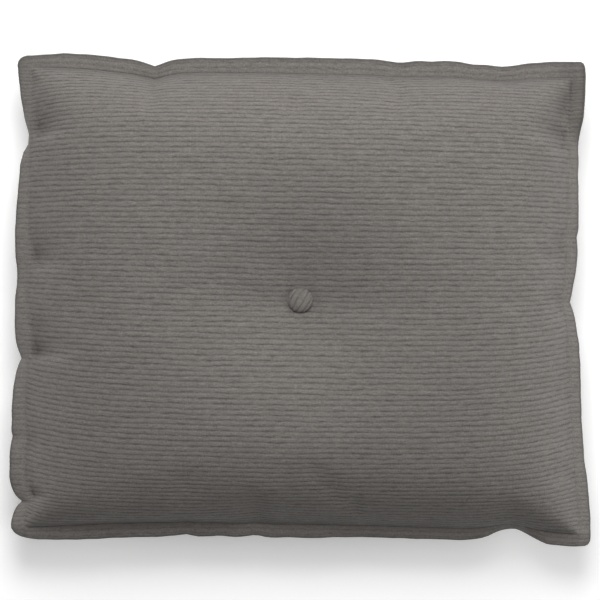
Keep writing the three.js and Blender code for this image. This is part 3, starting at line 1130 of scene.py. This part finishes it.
    @staticmethod
    def last_strip(ring: Array, back: Array, rows: int, columns: int) -> Pair:
        """The faces between the fold's last ring and the back's border.

        Args:
            ring: The last ring's point numbers, in the order of the face's border.
            back: The back's grid of point numbers, with every second row.
            rows: How many rows the face has.
            columns: How many columns both have.

        Returns:
            The quads at head and foot, and the triangles at left and right.
        """
        corner = np.cumsum([0, columns - 1, rows - 1, columns - 1, rows - 1])
        closed = np.append(ring, ring[0])
        foot, right, head, left = (closed[a : b + 1] for a, b in zip(corner, corner[1:]))
        quads = []
        for near, far in ((foot, back[0]), (head, back[-1, ::-1])):
            quads.append(np.stack([near[:-1], far[:-1], far[1:], near[1:]], axis=-1))
        triangles = []
        for near, far in ((right, back[:, -1]), (left, back[::-1, 0])):
            low, mid, high = near[:-2:2], near[1:-1:2], near[2::2]
            triangles.append(np.stack([low, far[:-1], mid], axis=-1))
            triangles.append(np.stack([mid, far[:-1], far[1:]], axis=-1))
            triangles.append(np.stack([mid, far[1:], high], axis=-1))
        return np.concatenate(quads), np.concatenate(triangles)


@dataclass
class SeamStitches:
    """The topstitches that run round the foot of the flange, on the face and on the back, in millimetres."""

    cushion: Cushion
    pitch: float = 4.1
    length: float = 3.1
    thread_radius: float = 0.24
    from_seam: float = 0.9
    arch: float = 0.16
    sink: float = 0.12
    rings: int = 5
    sides: int = 6
    end_width: float = 0.55
    end_roundness: float = 0.5
    path_samples: int = 1200
    probe: float = 0.5

    def path(self, back: bool) -> Pair:
        """The closed line that the stitches follow: a rectangle on the pattern, just outside the seam.

        Args:
            back: Whether it runs on the back.

        Returns:
            Points of the line, and the cloth's outward direction at each.
        """
        cushion, plan = self.cushion, self.cushion.plan
        x_far = plan.seam_x + self.from_seam
        low, high = -self.from_seam, plan.cloth_height + self.from_seam
        corners = np.arange(5)
        turns = np.arange(4 * self.path_samples) / self.path_samples
        x = np.interp(turns, corners, [-x_far, x_far, x_far, -x_far, -x_far])
        row = np.interp(turns, corners, [low, low, high, high, low])
        height_of = cushion.back_height if back else cushion.face_height
        points, y = cushion.lay(x, row, height_of)
        step = self.probe
        beside = cushion.lay(x + step, row, height_of)[0] - cushion.lay(x - step, row, height_of)[0]
        above = cushion.lay(x, row + step, height_of)[0] - cushion.lay(x, row - step, height_of)[0]
        normal = np.cross(beside, above)
        normal /= np.linalg.norm(normal, axis=-1, keepdims=True)
        normal = -normal if back else normal
        return points + normal * cushion.sheet_offset(plan.seam_distance(x, y))[:, None], normal

    def build(self) -> bpy.types.Object:
        """Makes every stitch: a short arched thread, round in section, whose ends go down into the cloth.

        Returns:
            The piece, with the stitches of the face and of the back.
        """
        points, quads, triangles, first = [], [], [], 0
        for back in (False, True):
            new_points, new_quads, new_triangles = self.row_of_stitches(*self.path(back))
            points.append(new_points)
            quads.append(new_quads + first)
            triangles.append(new_triangles + first)
            first += len(new_points)
        joined = [np.concatenate(parts) for parts in (points, quads, triangles)]
        return mesh_from("seam_stitches", *joined)

    def row_of_stitches(self, line: Array, normal: Array) -> Triple:
        """Sets stitches along a closed line.

        Each stitch is a bent tube: rings of points round the line, lifted by a sine arch and narrowed at its
        ends, where a fan of triangles closes it.

        Args:
            line: Points of the closed line.
            normal: The cloth's outward direction at each point.

        Returns:
            The stitches' points, quads and triangles.
        """
        closed = np.vstack([line, line[:1]])
        length = np.concatenate([[0], np.cumsum(np.linalg.norm(np.diff(closed, axis=0), axis=1))])
        count = round(length[-1] / self.pitch)
        along = np.linspace(0, 1, self.rings)
        starts = np.arange(count) * length[-1] / count
        reach = starts[:, None] + along[None, :] * self.length
        closed_normal = np.vstack([normal, normal[:1]])
        reach %= length[-1]
        centre = np.stack([np.interp(reach, length, axis) for axis in closed.T], axis=-1)
        out = np.stack([np.interp(reach, length, axis) for axis in closed_normal.T], axis=-1)
        out /= np.linalg.norm(out, axis=-1, keepdims=True)
        forward = np.gradient(centre, axis=1)
        forward /= np.linalg.norm(forward, axis=-1, keepdims=True)
        across = np.cross(forward, out)
        centre = centre + out * (self.arch * np.sin(np.pi * along) - self.sink)[None, :, None]
        round_off = np.sin(np.pi * along) ** self.end_roundness
        radius = self.thread_radius * blend_values(self.end_width, 1.0, round_off)
        angle = np.arange(self.sides) * 2 * np.pi / self.sides
        around = across[:, :, None] * np.cos(angle)[:, None] + out[:, :, None] * np.sin(angle)[:, None]
        points = centre[:, :, None] + around * radius[None, :, None, None]
        first = np.arange(count)[:, None, None] * self.rings * self.sides
        ring = np.arange(self.rings - 1)[None, :, None] * self.sides
        side = np.arange(self.sides)[None, None, :]
        after = (side + 1) % self.sides
        corners = (ring + side, ring + after, ring + self.sides + after, ring + self.sides + side)
        quads = np.stack([first + corner for corner in corners], axis=-1).reshape(-1, 4)
        fan = np.arange(1, self.sides - 1)
        start_cap = np.stack([np.zeros_like(fan), fan + 1, fan], axis=-1)
        end_cap = np.stack([np.zeros_like(fan), fan, fan + 1], axis=-1) + (self.rings - 1) * self.sides
        caps = np.concatenate([start_cap, end_cap])
        triangles = (first.reshape(-1, 1, 1) + caps[None]).reshape(-1, 3)
        return points.reshape(-1, 3), quads, triangles


@dataclass
class CoveredButton:
    """The button covered in the cushion's own cloth, its ribs on the slant, in millimetres."""

    centre_x: float
    centre_y: float
    base: float
    top: float
    radius: float = 12.5
    bottom: float = 2.5
    turn_under: float = math.radians(120)
    rib_turn: float = math.radians(58)
    rib_height: float = 0.75
    pleats: int = 26
    pleat_depth: float = 0.16
    cloth_stretch: float = 0.82
    cloth_gathered: float = 0.35
    ribs_end: tuple[float, float] = (1.35, 1.75)
    pleats_start: tuple[float, float] = (1.1, 1.8)
    flat_rings: tuple[float, ...] = (0.66, 0.33)
    grid: int = 73

    def disc(self) -> Pair:
        """A square grid drawn onto a disc: each place times the root of (1 less half the other's square).

        Returns:
            Each point's distance from the disc's middle, 1 at its rim, and its angle.
        """
        line = np.linspace(-1, 1, self.grid)
        a, b = np.meshgrid(line, line)
        x = a * np.sqrt(1 - b * b / 2)
        y = b * np.sqrt(1 - a * a / 2)
        return np.hypot(x, y), np.arctan2(y, x)

    def build(self, cushion: Cushion) -> bpy.types.Object:
        """Makes the button: a dome whose cloth turns under its rim, and a flat underside.

        The dome is half an ellipse turned about the button's axis and carried on under the widest ring. Its
        ribs are raised as the cushion's are, and the cloth is pleated under the rim.

        Args:
            cushion: The cushion, whose ribs it shares.

        Returns:
            The piece, with the places of its cloth as a UV map.
        """
        radius, angle = self.disc()
        fall = radius * self.turn_under
        widest = self.base + self.bottom
        dome = self.top - widest - self.rib_height / 2
        under = self.bottom / -math.cos(self.turn_under)
        ring = self.radius * np.sin(fall)
        z = widest + np.cos(fall) * np.where(fall < np.pi / 2, dome, under)
        spread = np.minimum(fall, np.pi / 2 + self.cloth_gathered * (fall - np.pi / 2))
        place = self.radius * spread * self.cloth_stretch
        u = place * np.cos(angle - self.rib_turn)
        v = place * np.sin(angle - self.rib_turn) + cushion.pitch / 2
        shown = 1 - smooth_step(*self.ribs_end, fall)
        relief = cushion.rib_relief(v, self.rib_height) * shown
        pleat = self.pleat_depth * np.cos(self.pleats * angle) * smooth_step(*self.pleats_start, fall)
        ring = ring + (relief * np.sin(fall) + pleat)
        z = z + relief * np.clip(np.cos(fall), 0, 1)
        across = self.centre_x + ring * np.cos(angle)
        along = self.centre_y + ring * np.sin(angle)
        upper = np.stack([across, along, z], axis=-1)
        index = number_grid(self.grid, self.grid)
        edge = loop_of(index)
        rim = upper.reshape(-1, 3)[edge]
        middle = np.array([[self.centre_x, self.centre_y, self.base]])
        flat = np.concatenate([middle + (rim - middle) * share for share in self.flat_rings])
        flat[:, 2] = self.base
        count = len(edge)
        first = self.grid**2
        after = np.roll(np.arange(count), -1)
        inner = [first + np.arange(count), first + count + np.arange(count)]
        strips = [np.stack([a, b, b[after], a[after]], axis=-1) for a, b in zip([edge, inner[0]], inner)]
        centre = first + 2 * count
        fan = np.stack([inner[1][after], inner[1], np.full(count, centre)], axis=-1)
        points = np.concatenate([upper.reshape(-1, 3), flat, middle])
        piece = mesh_from("covered_button", points, np.concatenate([index_faces(index), *strips]), fan)
        cloth = np.stack([u, v], axis=-1).reshape(-1, 2)
        give_uv(piece, np.concatenate([cloth, cloth[edge], cloth[edge], cloth[:1]]))
        return piece


def srgb(code: str) -> tuple[float, float, float, float]:
    """Turns a hex colour linear, by the sRGB standard's own curve.

    Args:
        code: The colour as a # and six hex digits.

    Returns:
        Linear red, green, blue and alpha.
    """
    values = [int(code[i : i + 2], 16) / 255 for i in (1, 3, 5)]
    linear = [v / 12.92 if v <= 0.04045 else ((v + 0.055) / 1.055) ** 2.4 for v in values]
    return (*linear, 1.0)


def add_node(
    material: bpy.types.Material, kind: str, inputs: dict[str | int, object] | None = None, **settings: object
) -> bpy.types.Node:
    """Adds a shader node.

    Args:
        material: The material it goes into.
        kind: Blender's name for the node.
        inputs: Input names or numbers, each with a value or with the output socket that feeds it.
        **settings: Properties of the node.

    Returns:
        The node.
    """
    node = material.node_tree.nodes.new(kind)
    for name, value in settings.items():
        setattr(node, name, value)
    for name, value in (inputs or {}).items():
        if isinstance(value, Socket):
            material.node_tree.links.new(value, node.inputs[name])
        else:
            node.inputs[name].default_value = value
    return node


@dataclass(frozen=True)
class Patches:
    """Soft chance patches of the cloth: their length along the ribs and from rib to rib, in millimetres.

    low and high are the values that the faintest and the strongest patches give.
    """

    across: float
    along: float
    low: float
    high: float


@dataclass(frozen=True)
class RibbedCloth:
    """Woven polyester rep, a matt upholstery cloth whose bundled weft threads stand up as ribs.

    The eye sees broad pale ribs between thin dark lines, which are painted shade of the grooves between the
    ribs. The lines waver and break off in dashes where the warp threads press the weft together unevenly, and
    the warp shows as faint marks across the ribs. The real threads are about 0.4 mm thick. That is too fine
    to show, so warp and speck are drawn two or three times as coarse. The flange is pressed flatter, so less
    painted groove shade is drawn there, and its folded rim is darkened by painted shade where the fold turns
    away from the light. Lengths are in millimetres.
    """

    colour: str = "#787470"
    # The darker colour of the lines between the ribs: painted shade of their grooves.
    valley_shade_colour: str = "#55514E"
    rib_pitch: float = 5.7
    valley_width: float = 2.8
    thread_width: float = 1.0
    waver: Patches = Patches(across=17, along=6, low=-0.45, high=0.45)
    strength: Patches = Patches(across=14, along=5, low=0.3, high=0.64)
    breaks: Patches = Patches(across=9, along=4.5, low=0.0, high=0.3)
    dashes: Patches = Patches(across=4, along=2.2, low=0.0, high=0.3)
    warp: Patches = Patches(across=0.95, along=4.0, low=0.94, high=1.06)
    speck: Patches = Patches(across=2.4, along=1.2, low=0.88, high=1.12)
    slub: Patches = Patches(across=8, along=1.9, low=0.91, high=1.09)
    fading: Patches = Patches(across=45, along=6, low=0.96, high=1.04)
    noise_ends: tuple[float, float] = (0.3, 0.7)
    # How much less painted groove shade the pressed seam and flange get.
    pressing: float = 0.4
    # How much the painted shade darkens the folded rim.
    painted_fold_shade_share: float = 0.38
    weave_depth: float = 0.9
    weave_strength: float = 0.5
    roughness: float = 0.93
    specular: float = 0.22
    sheen: float = 0.06
    sheen_roughness: float = 0.6

    def chance(self, cloth: bpy.types.Material, place: Socket, patches: Patches) -> Socket:
        """Reads smooth noise, stretched to the patches' size, and turns its two ends to low and high.

        Args:
            cloth: The material.
            place: The socket with places on the cloth in mm.
            patches: The size and the values of the patches.

        Returns:
            The socket with the numbers.
        """
        scale = (1 / patches.across, 1 / patches.along, 1)
        scaled = add_node(cloth, "ShaderNodeMapping", {"Vector": place, "Scale": scale}).outputs[0]
        pattern = {"Vector": scaled, "Scale": 1.0, "Detail": 1.0, "Roughness": 0.5}
        noise = add_node(cloth, "ShaderNodeTexNoise", pattern, noise_dimensions="2D").outputs[0]
        least, most = self.noise_ends
        ends = {"From Min": least, "From Max": most, "To Min": patches.low, "To Max": patches.high}
        return add_node(cloth, "ShaderNodeMapRange", {"Value": noise, **ends}).outputs[0]

    def line(self, cloth: bpy.types.Material, distance: Socket, width: float) -> Socket:
        """A soft line: 1 at distance 0, falling smoothly to 0 at width."""
        ends = {"Value": distance, "From Min": 0.0, "From Max": width, "To Min": 1.0, "To Max": 0.0}
        return add_node(cloth, "ShaderNodeMapRange", ends, interpolation_type="SMOOTHSTEP").outputs[0]

    def less_share(self, cloth: bpy.types.Material, attribute: str, share: float) -> Socket:
        """Takes a share of one of the piece's attributes from 1.

        Args:
            cloth: The material.
            attribute: The attribute's name.
            share: The share that is taken where the attribute is 1.

        Returns:
            The socket with what is left.
        """
        amount = add_node(cloth, "ShaderNodeAttribute", attribute_name=attribute).outputs["Fac"]
        taken = {0: amount, 1: -share, 2: 1.0}
        return add_node(cloth, "ShaderNodeMath", taken, operation="MULTIPLY_ADD").outputs[0]

    def valleys(self, cloth: bpy.types.Material, place: Socket) -> Socket:
        """Draws the dark lines between the ribs, painted shade of their grooves, and faint dashes half way
        between two lines.

        Each is a soft line on the wavering distance from the nearest valley, times chance patches.

        Args:
            cloth: The material.
            place: The socket with places on the cloth in mm.

        Returns:
            The socket with how dark the cloth is, from 0 to 1.
        """
        row = add_node(cloth, "ShaderNodeSeparateXYZ", {"Vector": place}).outputs["Y"]
        wave = {0: row, 1: self.chance(cloth, place, self.waver)}
        wavering = add_node(cloth, "ShaderNodeMath", wave, operation="ADD").outputs[0]
        in_rib = {0: wavering, 1: self.rib_pitch / 2}
        from_valley = add_node(cloth, "ShaderNodeMath", in_rib, operation="PINGPONG").outputs[0]
        in_half = {0: wavering, 1: self.rib_pitch / 4}
        from_middle = add_node(cloth, "ShaderNodeMath", in_half, operation="PINGPONG").outputs[0]
        lines = (
            (from_valley, self.valley_width, self.strength),
            (from_valley, self.thread_width, self.breaks),
            (from_middle, self.thread_width, self.dashes),
        )
        dark: Socket | float = 0.0
        for distance, width, patches in lines:
            drawn = {0: self.line(cloth, distance, width), 1: self.chance(cloth, place, patches), 2: dark}
            dark = add_node(cloth, "ShaderNodeMath", drawn, operation="MULTIPLY_ADD").outputs[0]
        # Where the cloth is pressed flat at the seam and on the flange, less of the painted groove shade is
        # drawn.
        shown = {0: dark, 1: self.less_share(cloth, PRESSED, self.pressing)}
        return add_node(cloth, "ShaderNodeMath", shown, operation="MULTIPLY").outputs[0]

    def material(self, name: str) -> bpy.types.Material:
        """Makes the cloth's material from its piece's own UV map, which holds places on the cloth.

        Args:
            name: The material's name.

        Returns:
            The material.
        """
        cloth = bpy.data.materials.new(name)
        cloth.use_nodes = True
        cloth.node_tree.nodes.clear()
        place = add_node(cloth, "ShaderNodeUVMap", uv_map=CLOTH_MAP).outputs[0]
        to_mm = {"Vector": place, "Scale": (1 / MM, 1 / MM, 1)}
        in_mm = add_node(cloth, "ShaderNodeMapping", to_mm).outputs[0]
        dark = self.valleys(cloth, in_mm)
        # Mixes in the painted shade of the grooves between the ribs.
        dyes = {MIX_SHARE: dark, MIX_FROM: srgb(self.colour), MIX_TO: srgb(self.valley_shade_colour)}
        dyed = add_node(cloth, "ShaderNodeMix", dyes, data_type="RGBA").outputs[MIX_COLOUR]

        warp, speck, fading, slub = (
            self.chance(cloth, in_mm, patches) for patches in (self.warp, self.speck, self.fading, self.slub)
        )
        shade = warp
        # The last factor is the painted shade that darkens the folded rim.
        for factor in (speck, fading, slub, self.less_share(cloth, PAINTED_FOLD_SHADE, self.painted_fold_shade_share)):
            shade = add_node(cloth, "ShaderNodeMath", {0: shade, 1: factor}, operation="MULTIPLY").outputs[0]
        toned = add_node(cloth, "ShaderNodeVectorMath", {0: dyed, "Scale": shade}, operation="SCALE")
        weave = add_node(cloth, "ShaderNodeMath", {0: warp, 1: speck}, operation="ADD").outputs[0]
        relief = {"Height": weave, "Strength": self.weave_strength, "Distance": self.weave_depth * MM}
        surface = {
            "Base Color": toned.outputs[0],
            "Normal": add_node(cloth, "ShaderNodeBump", relief).outputs[0],
            "Roughness": self.roughness,
            "Specular IOR Level": self.specular,
            "Sheen Weight": self.sheen,
            "Sheen Roughness": self.sheen_roughness,
        }
        shader = add_node(cloth, "ShaderNodeBsdfPrincipled", surface)
        add_node(cloth, "ShaderNodeOutputMaterial", {"Surface": shader.outputs[0]})
        return cloth


@dataclass(frozen=True)
class SewingThread:
    """Spun polyester sewing thread, a little darker than the cloth's colour: matt.

    Its plies turn every 0.6 mm, too fine to show, so its slanting bands of tone, painted light and shade of
    the twisted plies, stand band_pitch mm apart.
    """

    # The thread's tone, and the paler tone of its bands: painted light on the lit side of the twisted plies.
    colour: str = "#625E5B"
    lit_ply_colour: str = "#6C6865"
    roughness: float = 0.85
    band_pitch: float = 7.54
    ply_depth: float = 0.2
    ply_strength: float = 0.4

    def material(self) -> bpy.types.Material:
        """Makes the thread's material, with the twist of its plies in bump and in painted light and shade.

        The wave texture turns WAVE_TURN radians in a unit of length, so its scale is a full turn over
        WAVE_TURN times the pitch.

        Returns:
            The material.
        """
        thread = bpy.data.materials.new("spun_polyester_thread")
        thread.use_nodes = True
        thread.node_tree.nodes.clear()
        place = add_node(thread, "ShaderNodeTexCoord").outputs["Object"]
        scale = 2 * math.pi / (WAVE_TURN * self.band_pitch * MM)
        bands = {"Vector": place, "Scale": scale, "Distortion": 1.0}
        twist = add_node(thread, "ShaderNodeTexWave", bands, bands_direction="DIAGONAL").outputs["Fac"]
        # The bands of tone are painted light and shade of the twisted plies, beside their bump.
        dyes = {MIX_SHARE: twist, MIX_FROM: srgb(self.colour), MIX_TO: srgb(self.lit_ply_colour)}
        relief = {"Height": twist, "Strength": self.ply_strength, "Distance": self.ply_depth * MM}
        surface = {
            "Base Color": add_node(thread, "ShaderNodeMix", dyes, data_type="RGBA").outputs[MIX_COLOUR],
            "Normal": add_node(thread, "ShaderNodeBump", relief).outputs[0],
            "Roughness": self.roughness,
        }
        shader = add_node(thread, "ShaderNodeBsdfPrincipled", surface)
        add_node(thread, "ShaderNodeOutputMaterial", {"Surface": shader.outputs[0]})
        return thread


@dataclass(frozen=True)
class SoftBox:
    """A round studio light that faces the middle of the cushion, in degrees, metres and watts."""

    name: str
    azimuth: float
    elevation: float
    power: float
    distance: float = 2.3
    size: float = 1.2

    def build(self) -> None:
        """Makes the light. Azimuth 0 is the cushion's right and 90 its head."""
        azimuth, elevation = math.radians(self.azimuth), math.radians(self.elevation)
        level = math.cos(elevation)
        out = Vector((math.cos(azimuth) * level, math.sin(azimuth) * level, math.sin(elevation)))
        lamp = bpy.data.lights.new(self.name, "AREA")
        lamp.shape = "DISK"
        lamp.size = self.size
        lamp.energy = self.power
        light = bpy.data.objects.new(self.name, lamp)
        light.location = out * self.distance
        light.rotation_euler = (-out).to_track_quat("-Z", "Y").to_euler()
        bpy.context.scene.collection.objects.link(light)


SOFT_BOXES = (
    SoftBox("key", azimuth=90, elevation=58, power=33.7),
    SoftBox("overhead", azimuth=0, elevation=90, power=16.2, distance=2.6, size=2.0),
    SoftBox("head_low", azimuth=90, elevation=13, power=12, size=0.55),
    SoftBox("right_low", azimuth=0, elevation=20, power=22),
    SoftBox("left_low", azimuth=180, elevation=20, power=10.5),
)


@dataclass(frozen=True)
class Studio:
    """The pale floor, the soft lights and the camera straight above the cushion's face."""

    camera_distance: float = 3.2
    pixel_size: float = 600.0 / 580.0
    sensor_width: float = 36.0
    view_depth: float = 20.0
    ambient: float = 0.03
    white: str = "#FFFFFF"
    floor_reach: float = 6.0
    floor_colour: str = "#F4F4F4"
    floor_roughness: float = 0.9
    floor_glow: float = 0.27

    def build(self, plan: CushionPlan) -> None:
        """Makes floor, lights, world and camera.

        Args:
            plan: The cushion's plan, whose seam's plane the camera is set by.
        """
        scene = bpy.context.scene
        scene.view_settings.view_transform = "Standard"
        self.add_floor()
        for soft_box in SOFT_BOXES:
            soft_box.build()
        world = bpy.data.worlds.new("studio")
        world.use_nodes = True
        background = world.node_tree.nodes["Background"]
        background.inputs["Color"].default_value = srgb(self.white)
        background.inputs["Strength"].default_value = self.ambient
        scene.world = world
        self.add_camera(plan)

    def add_floor(self) -> None:
        """A square pale floor that the cushion lies on, with a faint glow that softens the shadow."""
        mesh = bpy.data.meshes.new("floor")
        reach = self.floor_reach
        corners = [(-reach, -reach, 0), (reach, -reach, 0), (reach, reach, 0), (-reach, reach, 0)]
        mesh.from_pydata(corners, [], [(0, 1, 2, 3)])
        floor = bpy.data.objects.new("floor", mesh)
        bpy.context.scene.collection.objects.link(floor)
        paint = bpy.data.materials.new("pale_matt_floor")
        paint.use_nodes = True
        surface = paint.node_tree.nodes["Principled BSDF"].inputs
        surface["Base Color"].default_value = srgb(self.floor_colour)
        surface["Roughness"].default_value = self.floor_roughness
        surface["Emission Color"].default_value = srgb(self.white)
        surface["Emission Strength"].default_value = self.floor_glow
        mesh.materials.append(paint)

    def add_camera(self, plan: CushionPlan) -> None:
        """A long lens straight above the face, with one pixel as wide as pixel_size at the seam's plane.

        Args:
            plan: The cushion's plan, for the height of the seam's plane.
        """
        data = bpy.data.cameras.new("camera")
        data.sensor_width = self.sensor_width
        data.lens = data.sensor_width * self.camera_distance / (IMAGE_SIDE * self.pixel_size * MM)
        camera = bpy.data.objects.new("camera", data)
        camera.location = (0, 0, self.camera_distance + plan.seam_height * MM)
        data.clip_end = self.view_depth
        bpy.context.scene.collection.objects.link(camera)
        bpy.context.scene.camera = camera


def report(piece: bpy.types.Object) -> None:
    """Logs how many points and faces a finished piece has."""
    log.info("%s: %d points, %d faces", piece.name, len(piece.data.vertices), len(piece.data.polygons))


def main() -> None:
    """Builds the cushion, dresses it and sets the studio round it."""
    logging.basicConfig(level=logging.INFO, format="%(message)s")
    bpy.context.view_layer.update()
    cushion = Cushion()
    Studio().build(cushion.plan)
    cloth = RibbedCloth(rib_pitch=cushion.pitch)

    body = cushion.build()
    body.data.materials.append(cloth.material("woven_polyester_rep"))
    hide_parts("cushion")
    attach(body, "root")
    report(body)

    stitches = SeamStitches(cushion).build()
    stitches.data.materials.append(SewingThread().material())
    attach(stitches, "root")
    report(stitches)

    low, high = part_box("button")
    middle = (low + high) / 2 / MM
    button = CoveredButton(middle.x, middle.y, low.z / MM, high.z / MM).build(cushion)
    button.data.materials.append(cloth.material("woven_polyester_rep_on_button"))
    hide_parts("button")
    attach(button, "root")
    report(button)


if __name__ == "__main__":
    main()
